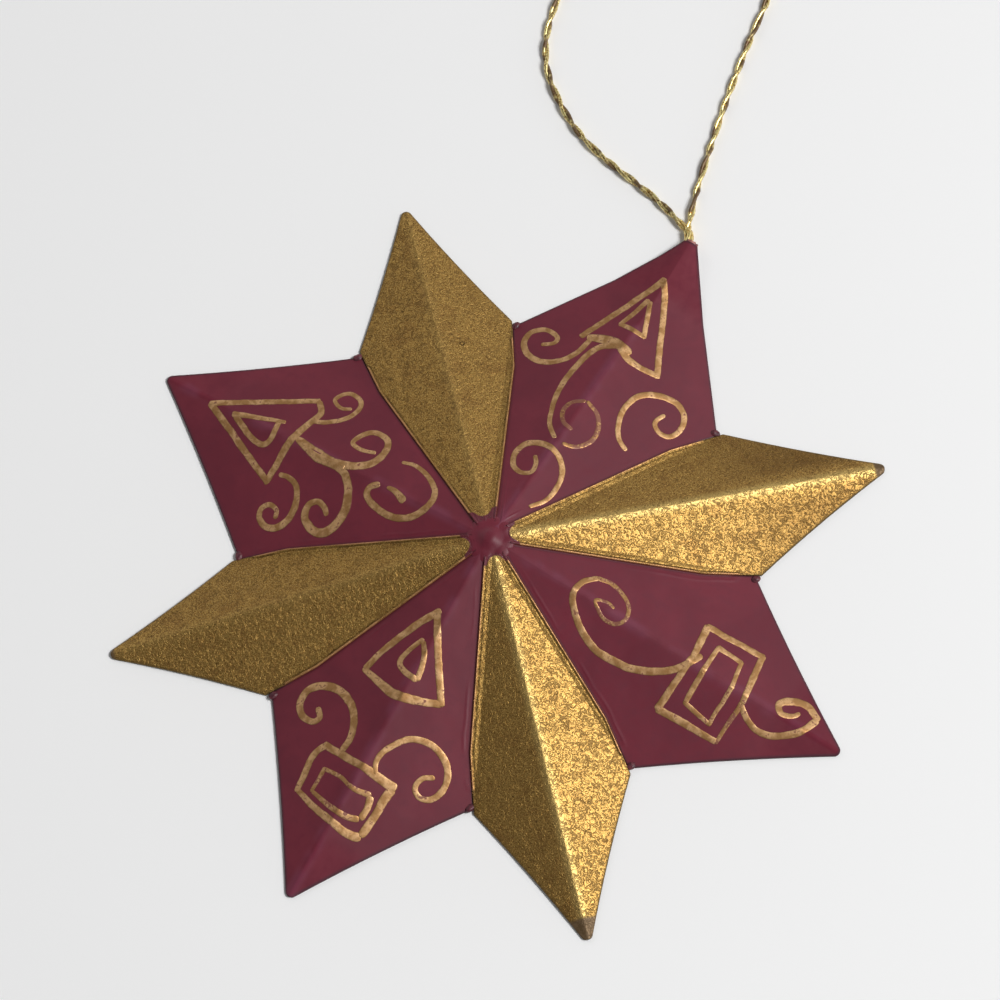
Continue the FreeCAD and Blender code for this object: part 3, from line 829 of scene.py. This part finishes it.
# Painted shade along the outline, where the enamel rounds down.
enamel.lay(enamel.read("rim").rise(0.45, 0.1) * (1 - in_valley) * 0.7, paint(62, 38, 48))
enamel.lay(painted_ridge_sheen * 0.4, paint(122, 62, 84))
enamel.put(Base_Color=enamel.tone, Roughness=0.41 + 0.16 * brushed + 0.2 * ridge.rise(0.6, 0.2)
           + 0.3 * enamel.read("tip").rise(12, 7))
enamel.relief(tooth * 0.4 + brushed * 0.6, 0.02 * mm, 0.5)
burgundy = enamel.material

enamels = {}
enamel_edges = skin_edges + [step * mm for step in (0.7, 0.85, 1.0, 1.2)]
for name, node in BURGUNDY.items():
    fold_end = (funnel_start - 1) * mm if name == "north" else no_funnel
    skin = ray_skin("enamel", node, enamel_rows, enamel_columns, enamel_edges, 0.6, fold_end)
    enamels[name] = grow("enamel_" + name, skin, enamel_relief, burgundy, thick=enamel_thick)
    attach(enamels[name], "root")


# ---- painted scrolls ---------------------------------------------------------------------------
# Triangles, rectangles and scrolls painted over the enamel by hand in gold, with a loaded brush. The
# strokes stand a little proud, swell and thin with the brush, and are worn through in places.

# Each stroke is three widths in millimetres (at its start, halfway and at its end), then the pixels
# where the brush went in the photograph (two if it is straight), and how worn it is, if it is worn.
SCROLLS = {
    "west": [
        ((0.8, 0.8, 0.75), [(211, 404), (319, 401)]),
        ((0.85, 0.85, 0.8), [(211, 404), (267, 482)]),
        ((0.8, 1.0, 0.75), [(267, 482), (279, 460), (292, 439), (311, 422), (321, 413), (319, 401)]),
        ((0.8, 0.7, 0.55), [(234, 414), (284, 422)]),
        ((0.8, 0.75, 0.7), [(235, 415), (245, 430), (255, 441), (264, 444), (272, 437), (280, 421)]),
        ((0.7, 0.65, 0.5), [(311, 421), (325, 422), (345, 419), (358, 411), (361, 402), (354, 395),
         (345, 394), (335, 400), (341, 408), (352, 409)]),
        ((0.9, 1.6, 1.1), [(297, 438), (315, 453), (334, 464), (344, 468)]),
        ((1.3, 0.85, 0.5), [(328, 462), (352, 466), (373, 463), (385, 452), (388, 441), (380, 434),
         (368, 433), (353, 442), (362, 450), (376, 453)]),
        ((0.9, 1.2, 0.65), [(336, 466), (345, 475), (348, 492), (345, 510), (335, 525), (322, 533),
         (311, 529), (305, 517), (309, 505), (318, 502), (324, 508), (326, 516)]),
        ((0.6, 0.95, 0.55), [(279, 474), (288, 477), (296, 487), (296, 503), (288, 519), (276, 528),
         (265, 527), (259, 518), (261, 509), (269, 505), (276, 510), (275, 519)]),
        ((0.5, 0.9, 0.8), [(402, 462), (416, 466), (429, 478), (435, 492), (429, 505), (414, 516),
         (398, 518), (380, 511), (368, 498), (369, 488), (380, 484)]),
        ((0.5, 0.8, 1.0), [(387, 487), (395, 491), (404, 502)]),
    ],
    "north": [
        ((0.9, 0.8, 0.8), [(664, 280), (582, 336)]),
        ((0.8, 0.8, 0.8), [(664, 280), (665, 302)]),
        ((0.8, 0.8, 0.8), [(665, 301), (657, 377)]),
        ((0.9, 1.5, 1.1), [(587, 337), (606, 340), (622, 347), (630, 355)]),
        ((1.2, 0.8, 0.8), [(620, 347), (628, 359), (640, 368), (657, 376)]),
        ((0.7, 0.65, 0.6), [(648, 301), (621, 324)]),
        ((0.65, 0.65, 0.6), [(621, 324), (644, 337)]),
        ((0.6, 0.65, 0.6), [(644, 337), (650, 303)]),
        ((0.7, 0.85, 0.55), [(591, 339), (576, 353), (558, 361), (539, 361), (527, 353), (524, 342),
         (532, 332), (546, 330), (557, 337), (554, 343), (541, 345)]),
        ((0.9, 0.75, 0.55), [(617, 345), (598, 348), (578, 364), (561, 386), (552, 408), (550, 424),
         (555, 438)]),
        ((0.5, 0.6, 0.5), [(586, 401), (572, 402), (563, 411), (564, 422), (572, 430)], 0.75),
        ((0.5, 0.65, 0.5), [(587, 401), (597, 414), (598, 429), (591, 441), (577, 447), (562, 443)],
         0.6),
        ((0.6, 0.85, 0.55), [(626, 451), (619, 438), (619, 422), (626, 406), (640, 396), (659, 396),
         (676, 403), (684, 417), (680, 431), (669, 437), (658, 432), (655, 422), (665, 415)]),
        ((0.5, 0.85, 0.55), [(529, 507), (546, 500), (558, 486), (562, 471), (558, 455), (546, 445),
         (528, 443), (516, 452), (513, 464), (520, 472), (531, 472), (536, 463), (535, 455)]),
    ],
    "east": [
        ((0.4, 0.5, 0.6), [(614, 609), (608, 603), (596, 600), (598, 609), (604, 619), (615, 624),
         (625, 620), (629, 609), (623, 595), (612, 584), (597, 578)], 0.45),
        ((0.7, 0.95, 0.8), [(599, 578), (583, 582), (573, 594), (574, 610), (581, 629), (594, 648),
         (615, 662), (638, 670), (665, 671), (686, 665), (702, 655)]),
        ((0.9, 0.8, 0.8), [(708, 627), (763, 657)]),
        ((0.8, 0.85, 0.7), [(763, 657), (743, 702)]),
        ((0.7, 0.55, 0.5), [(743, 702), (716, 742)], 0.5),
        ((0.7, 0.9, 0.9), [(715, 741), (658, 709)]),
        ((0.9, 0.8, 0.8), [(658, 709), (693, 657)]),
        ((0.8, 0.9, 0.9), [(693, 657), (708, 627)]),
        ((0.8, 0.6, 0.6), [(719, 648), (741, 663)]),
        ((0.6, 0.55, 0.6), [(741, 663), (732, 687)]),
        ((0.6, 0.55, 0.5), [(732, 687), (709, 724)], 0.2),
        ((0.5, 0.6, 0.6), [(709, 724), (685, 703)], 0.2),
        ((0.6, 0.7, 0.7), [(685, 703), (702, 673)]),
        ((0.7, 0.6, 0.6), [(702, 673), (719, 648)]),
        ((0.7, 0.8, 0.9), [(740, 702), (747, 719), (757, 731), (771, 736), (789, 735), (805, 729),
         (818, 720)]),
        ((0.9, 1.0, 0.55), [(819, 721), (808, 707), (794, 702), (780, 704), (781, 713), (792, 716),
         (800, 713)]),
    ],
    "south": [
        ((1.0, 0.9, 0.8), [(441, 610), (424, 620), (407, 632), (384, 650), (364, 669)]),
        ((0.7, 1.2, 0.8), [(363, 668), (381, 684), (399, 696), (420, 701), (442, 705)]),
        ((0.85, 0.9, 0.9), [(437, 611), (438, 657)]),
        ((0.9, 0.9, 0.85), [(438, 656), (441, 705)]),
        ((0.6, 0.7, 0.75), [(424, 639), (410, 650), (400, 661), (404, 670), (417, 681)]),
        ((0.7, 0.7, 0.6), [(417, 681), (422, 666), (424, 653), (423, 641)]),
        ((0.8, 1.05, 0.7), [(341, 752), (350, 738), (354, 721), (351, 704), (340, 691), (323, 686),
         (307, 691), (300, 704), (303, 716), (313, 722), (320, 717), (318, 707)]),
        ((0.9, 0.9, 1.3), [(325, 745), (394, 789)]),
        ((1.1, 1.0, 1.0), [(393, 788), (382, 803), (372, 821), (360, 837)]),
        ((1.1, 0.9, 0.65), [(361, 838), (347, 834), (332, 822), (313, 806), (297, 790)]),
        ((0.7, 0.8, 0.85), [(297, 790), (309, 764)]),
        ((0.85, 0.8, 0.8), [(308, 765), (316, 752), (326, 745)]),
        ((0.5, 0.5, 0.6), [(312, 790), (324, 769)], 0.35),
        ((0.5, 0.5, 0.8), [(324, 768), (340, 777), (352, 787), (371, 796)], 0.35),
        ((0.9, 0.8, 0.8), [(371, 796), (367, 809), (360, 820)], 0.1),
        ((0.8, 0.7, 0.5), [(359, 820), (345, 816), (330, 806), (312, 791)], 0.3),
        ((0.6, 0.9, 0.6), [(375, 774), (376, 762), (384, 751), (398, 743), (414, 739), (431, 745),
         (443, 758), (448, 775), (443, 791), (431, 800), (420, 798), (415, 788), (422, 779),
         (435, 778)]),
    ],
}
stroke_step = 0.18 * mm
stroke_lift = 0.05 * mm
stroke_sunk = 0.012 * mm  # how far the paint has soaked in
stroke_foot = 0.05 * mm   # its hidden foot is a wedge of two such steps under one edge
brush_width = 1.24        # how far a loaded brush spreads past the width that was aimed at
corner_overrun = 0.28 * mm   # a straight stroke runs past its corner, into the next stroke
stroke_columns = [-1, -0.85, -0.5, 0, 0.5, 0.85, 1]
curl_steps = 10


def curl_through(marks):
    """A smooth path through all the marks."""
    ends = [marks[0] * 2 - marks[1]] + marks + [marks[-1] * 2 - marks[-2]]
    path = []
    for before, here, there, after in zip(ends, ends[1:], ends[2:], ends[3:]):
        for step in range(curl_steps):
            t = step / curl_steps
            bend = 2 * before - 5 * here + 4 * there - after
            twist = 3 * here - before - 3 * there + after
            path.append(0.5 * (2 * here + (there - before) * t + bend * t ** 2 + twist * t ** 3))
    return path + [marks[-1]]


def evenly(path, step):
    """Points at even steps along a path, its ends among them."""
    total = length_of(path)
    count = max(4, round(total / step))
    spots, travelled, leg = [], 0.0, 0
    for place in range(count + 1):
        target = total * place / count
        while leg < len(path) - 2 and travelled + (path[leg + 1] - path[leg]).length < target:
            travelled += (path[leg + 1] - path[leg]).length
            leg += 1
        stretch = (path[leg + 1] - path[leg]).length
        spots.append(path[leg].lerp(path[leg + 1], min(1, (target - travelled) / max(stretch, 1e-9))))
    return spots


def painted(name, strokes, enamel, material):
    """All the strokes on one ray, each a closed ribbon that lies on the enamel."""
    ground = BVHTree.FromPolygons(*gathered([enamel.data]))
    vertices, faces, wear, across = [], [], [], []

    def point(place, worn, side):
        vertices.append(place)
        wear.append(worn)
        across.append(side)
        return len(vertices) - 1

    for order, (widths, pixels, *how_worn) in enumerate(strokes):
        straight = len(pixels) == 2
        worn = how_worn[0] if how_worn else 0.0
        marks = [ground.ray_cast(eye, sight(pixel))[0] for pixel in pixels]
        if straight:
            beyond = (marks[-1] - marks[0]).normalized() * corner_overrun
            marks = [marks[0] - beyond, marks[-1] + beyond]
        path = evenly(marks if straight else curl_through(marks), stroke_step)
        long = length_of(path)
        travelled = 0.0
        rings = []
        for place, spot in enumerate(path):
            before, after = path[max(place - 1, 0)], path[min(place + 1, len(path) - 1)]
            heading = Vector((after.x - before.x, after.y - before.y, 0)).normalized()
            aside = Vector((-heading.y, heading.x, 0))
            share = travelled / long
            half = int(share >= 0.5)
            first, second = widths[half:half + 2]
            broad = (first + (second - first) * (2 * share - half)) * brush_width * mm / 2
            from_end = min(travelled, long - travelled)
            blunt = min(1.0, from_end / (broad * (0.5 if straight else 1.0)) + 0.12)
            broad *= math.sqrt(blunt * (2 - blunt))
            shaky = spot / (0.8 * mm) + Vector((0, 0, 3.7 * order))
            drift = aside * noise.noise(spot / (2.6 * mm)) * 0.1 * mm
            ring = []
            for column in stroke_columns:
                ragged = 1 + 0.13 * noise.noise(shaky + Vector((0, 0, 9 * (column > 0))))
                flat = spot + aside * column * broad * ragged + drift
                hit = ground.ray_cast(Vector((flat.x, flat.y, above_all)), down)[0]
                thick = stroke_lift * (1 - abs(column) ** 5) * (0.85 + 0.2 * noise.noise(flat / (0.9 * mm)))
                height = (hit.z if hit else spot.z) + thick - stroke_sunk
                ring.append(point(Vector((flat.x, flat.y, height)), worn, abs(column)))
            foot = point(vertices[ring[0]] + down * stroke_foot, worn, 1.0)
            ring += [foot, point(vertices[foot] + down * stroke_foot, worn, 1.0)]
            rings.append(ring)
            if place < len(path) - 1:
                travelled += (path[place + 1] - spot).length
        size = len(stroke_columns)
        loop = list(range(size)) + [size + 1, size]
        for here, there in zip(rings, rings[1:]):
            for this, that in zip(loop, loop[1:] + loop[:1]):
                faces.append((here[this], there[this], there[that], here[that]))
        faces.append([rings[0][place] for place in loop])
        faces.append([rings[-1][place] for place in loop[::-1]])
    return piece_of(name, vertices, faces, material, wear=wear, across=across)


gilt = Finish("scroll_gold")
bristled = gilt.grain(gilt.place, 0.35 * mm, 3.0, 0.5)
patch = gilt.grain(gilt.place, 1.4 * mm, 2.0, 0.3)
through = (patch * 0.6 + bristled * 0.4 + gilt.read("wear") * 0.32).rise(0.60, 0.72)
gilt.start(patch.rise(0.35, 0.65), paint(172, 128, 80), paint(216, 172, 122))
gilt.lay(bristled.rise(0.5, 0.68) * 0.35, paint(140, 96, 50))
# Painted shade: a dark line along both edges of each stroke.
gilt.lay(gilt.read("across").rise(0.72, 0.96) * 0.85, paint(76, 38, 32))
gilt.lay(through * 0.85, paint(120, 62, 52))
gilt.put(Base_Color=gilt.tone, Metallic=0.7 - 0.5 * through, Roughness=0.36 + 0.2 * bristled)
gilt.relief(bristled, 0.02 * mm, 0.4)
for name, strokes in SCROLLS.items():
    scrolls = painted("scrolls_" + name, strokes, enamels[name], gilt.material)
    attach(scrolls, "root")


# ---- centre ------------------------------------------------------------------------------------
# The inner ends of the rays are soldered together over one hole. The solder is a low dome in front,
# hidden under a thick spot of the same enamel, and a bare puddle behind.

solder = Finish("solder", Metallic=0.85)
dull = solder.grain(solder.place, 1.6 * mm, 3.0, 0.6, flat=False)
frosted = solder.grain(solder.place, 0.25 * mm, 2.0, flat=False)
solder.start(dull.rise(0.35, 0.7), paint(150, 150, 148), paint(112, 110, 106))
solder.put(Base_Color=solder.tone, Roughness=0.3 + 0.3 * frosted)
solder.relief(frosted * 0.5 + dull, 0.06 * mm, 0.7)
dress(["centre_solder"], solder.material)

cap_reach = 3.3 * mm
cap_rings = 30
cap_sectors = 144
cap_lift = 0.06           # how high the spot stands, how far its edge drops, and how uneven it is
cap_drop = 0.16
cap_uneven = 0.018
cap_foot = 0.12
cover_reach = 0.25 * mm   # how far thick paint covers the edge of a step, and how far it levels it
level_reach = 0.42 * mm
cover_spots = 8
level_spots = 14
far_from_all = 50.0       # the spot has no rim, valley, tip or ridge of its own
under_cap = BVHTree.FromPolygons(*gathered([*sheets.values(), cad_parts["centre_solder"].data]))


def circle_round(spot, steps, reach):
    """The spot and a small circle of spots round it."""
    turns = [whole_turn * step / steps for step in range(steps)]
    return [spot] + [spot + Vector((math.cos(turn), math.sin(turn), 0)) * reach for turn in turns]


def settled(x, y):
    """The height that thick paint settles to: it covers what lies near and levels the steps."""
    levels = []
    for near in circle_round(Vector((x, y, above_all)), level_spots, level_reach):
        hits = [under_cap.ray_cast(spot, down)[0] for spot in circle_round(near, cover_spots, cover_reach)]
        levels.append(max(hit.z for hit in hits if hit))
    return sum(levels) / len(levels)


def cap_edge(turn):
    """How far the thick enamel reaches this way: it stops at the rounded inner ends of the gold."""
    heading = Vector((math.cos(turn), math.sin(turn), 0))
    reach = cap_reach
    for axis, start in [inner_ends[node] for node in GOLD.values()]:
        ahead, beside = heading.dot(axis), heading.cross(axis).length

        def short_of_nose(out):
            return out * ahead < start + nose_curve * min(out * beside / mm, nose_half_width) ** 2 * mm
        reach = halved(0.0, reach, 20, short_of_nose)[1]
    return reach


cap_points = [Vector((0, 0, settled(0, 0) + cap_lift * mm))]
cap_turns = [whole_turn * sector / cap_sectors for sector in range(cap_sectors)]
cap_edges = [cap_edge(turn) for turn in cap_turns]
for ring in range(1, cap_rings + 1):
    share = ring / cap_rings
    for turn, edge in zip(cap_turns, cap_edges):
        x, y = share * edge * math.cos(turn), share * edge * math.sin(turn)
        swell = cap_lift - cap_drop * share ** 8 + cap_uneven * noise.noise(Vector((x, y, 0)) / (0.8 * mm))
        cap_points.append(Vector((x, y, settled(x, y) + swell * mm)))
cap_points += [point + down * cap_foot * mm for point in cap_points[-cap_sectors:]]
cap_points.append(cap_points[0] + down * 0.5 * mm)
cap_faces = []
for sector in range(cap_sectors):
    beside = (sector + 1) % cap_sectors
    cap_faces.append((0, 1 + sector, 1 + beside))
    for ring in range(cap_rings):
        inner, outer = 1 + ring * cap_sectors, 1 + (ring + 1) * cap_sectors
        cap_faces.append((inner + sector, outer + sector, outer + beside, inner + beside))
    cap_faces.append((outer + beside, outer + sector, len(cap_points) - 1))
cap = piece_of("enamel_centre", cap_points, cap_faces, burgundy,
               **{label: [far_from_all] * len(cap_points) for label in ("rim", "valley", "tip", "ridge")})
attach(cap, "root")


# ---- solder behind and in the notches ----------------------------------------------------------
# A fillet of solder runs along the free edge of each lap, behind. In front, a small drop closes each
# notch between two rims. The drops were painted over with the enamel.

dress([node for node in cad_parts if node.startswith("solder_seam_")], solder.material)

bead_in = 0.55            # how far in from its CAD drop, and how far up, each bead sits
bead_up = 0.1
drop_clusters = []
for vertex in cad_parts["notch_solder_drops"].data.vertices:
    for cluster in drop_clusters:
        if (cluster[0] - vertex.co).length < 3 * mm:
            cluster.append(vertex.co.copy())
            break
    else:
        drop_clusters.append([vertex.co.copy()])
drop_spots = []
for cluster in drop_clusters:
    middle = sum(cluster, Vector()) / len(cluster)
    outward = Vector((middle.x, middle.y, 0)).normalized()
    drop_spots.append(middle - outward * bead_in * mm + raised * bead_up * mm)


def solder_blobs(tree, spots, size):
    """A squat, uneven bead at each spot."""
    bead = tree.shape("MeshIcoSphere", Radius=1.0, Subdivisions=4)
    turned = tree.get(1, "FunctionNodeRandomValue", {"data_type": "FLOAT"}, {2: 0.0, 3: 6.28, "Seed": 4})
    beads = tree.shape("InstanceOnPoints", Points=spots, Instance=bead, Rotation=tree.vector(z=turned),
                       Scale=tree.vector(size["length"], size["width"], size["height"]))
    beads = tree.shape("RealizeInstances", Geometry=beads)
    lumps = tree.grain(tree.shape("InputPosition"), size["lump"], 1.0, flat=False)
    push = tree.scaled(tree.shape("InputNormal"), (lumps - 0.5) * size["uneven"])
    beads = tree.shape("SetPosition", Geometry=beads, Offset=push)
    return tree.shape("SetShadeSmooth", Geometry=beads)


def blotched(name, size, band, low, high, rough, bump, detail=3.0, stir=0.5):
    """A glossy smear of two colours that ran into each other, one rougher than the other."""
    smear = Finish(name, Specular_IOR_Level=0.5)
    blotch = smear.grain(smear.place, size, detail, stir, flat=False)
    smear.start(blotch.rise(*band), low, high)
    smear.put(Base_Color=smear.tone, Roughness=rough[0] + rough[1] * blotch)
    smear.relief(blotch, *bump)
    return smear.material


coated = blotched("enamelled_solder", 0.7 * mm, (0.35, 0.65), paint(70, 26, 38), paint(104, 48, 56),
                  (0.34, 0.2), (0.04 * mm, 0.6), 2.0, 0.3)
blobs = grow("notch_solder_beads", piece_of("drop_spots", drop_spots, []), solder_blobs, coated,
             length=0.72 * mm, width=0.5 * mm, height=0.32 * mm, lump=0.5 * mm, uneven=0.2 * mm)
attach(blobs, "root")
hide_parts("notch_solder_drops")


# ---- glue and seal -----------------------------------------------------------------------------
# A dab of amber glue holds the cord's ends under the ridge of the hanging ray. In the mouth, enamel
# and glue were worked in round the neck, and a smear of both sits on the neck's foot.

amber = blotched("amber_glue", 0.9 * mm, (0.35, 0.7), paint(176, 122, 52), paint(120, 74, 26),
                 (0.18, 0.15), (0.08 * mm, 0.5))
dress(["cord_glue_dab"], amber)
smear = blotched("mouth_seal", 0.5 * mm, (0.4, 0.62), paint(98, 42, 50), paint(176, 116, 104),
                 (0.35, 0.2), (0.06 * mm, 0.8), stir=0.4)
dress(["mouth_seal"], smear)

collar_radius = 0.74 * mm
collar_thick = 0.2 * mm
collar_steps = 48
collar_sides = 12
collar_points, collar_faces = [], []
for step in range(collar_steps):
    turn = whole_turn * step / collar_steps
    outward = north_left * math.cos(turn) + raised * math.sin(turn)
    for side in range(collar_sides):
        bend = whole_turn * side / collar_sides
        lump = 1 + 0.7 * noise.noise((outward * 1.4 + north * math.cos(bend)) * 1.6)
        reach = collar_radius + collar_thick * lump * math.cos(bend)
        out = (mouth_reach + 0.16) * mm + collar_thick * 1.2 * lump * math.sin(bend)
        collar_points.append(north * out + raised * mouth_height * mm + outward * reach)
        beside, after = (side + 1) % collar_sides, (step + 1) % collar_steps
        collar_faces.append((step * collar_sides + side, after * collar_sides + side,
                             after * collar_sides + beside, step * collar_sides + beside))
collar = piece_of("mouth_residue", collar_points, collar_faces, smear)
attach(collar, "root")
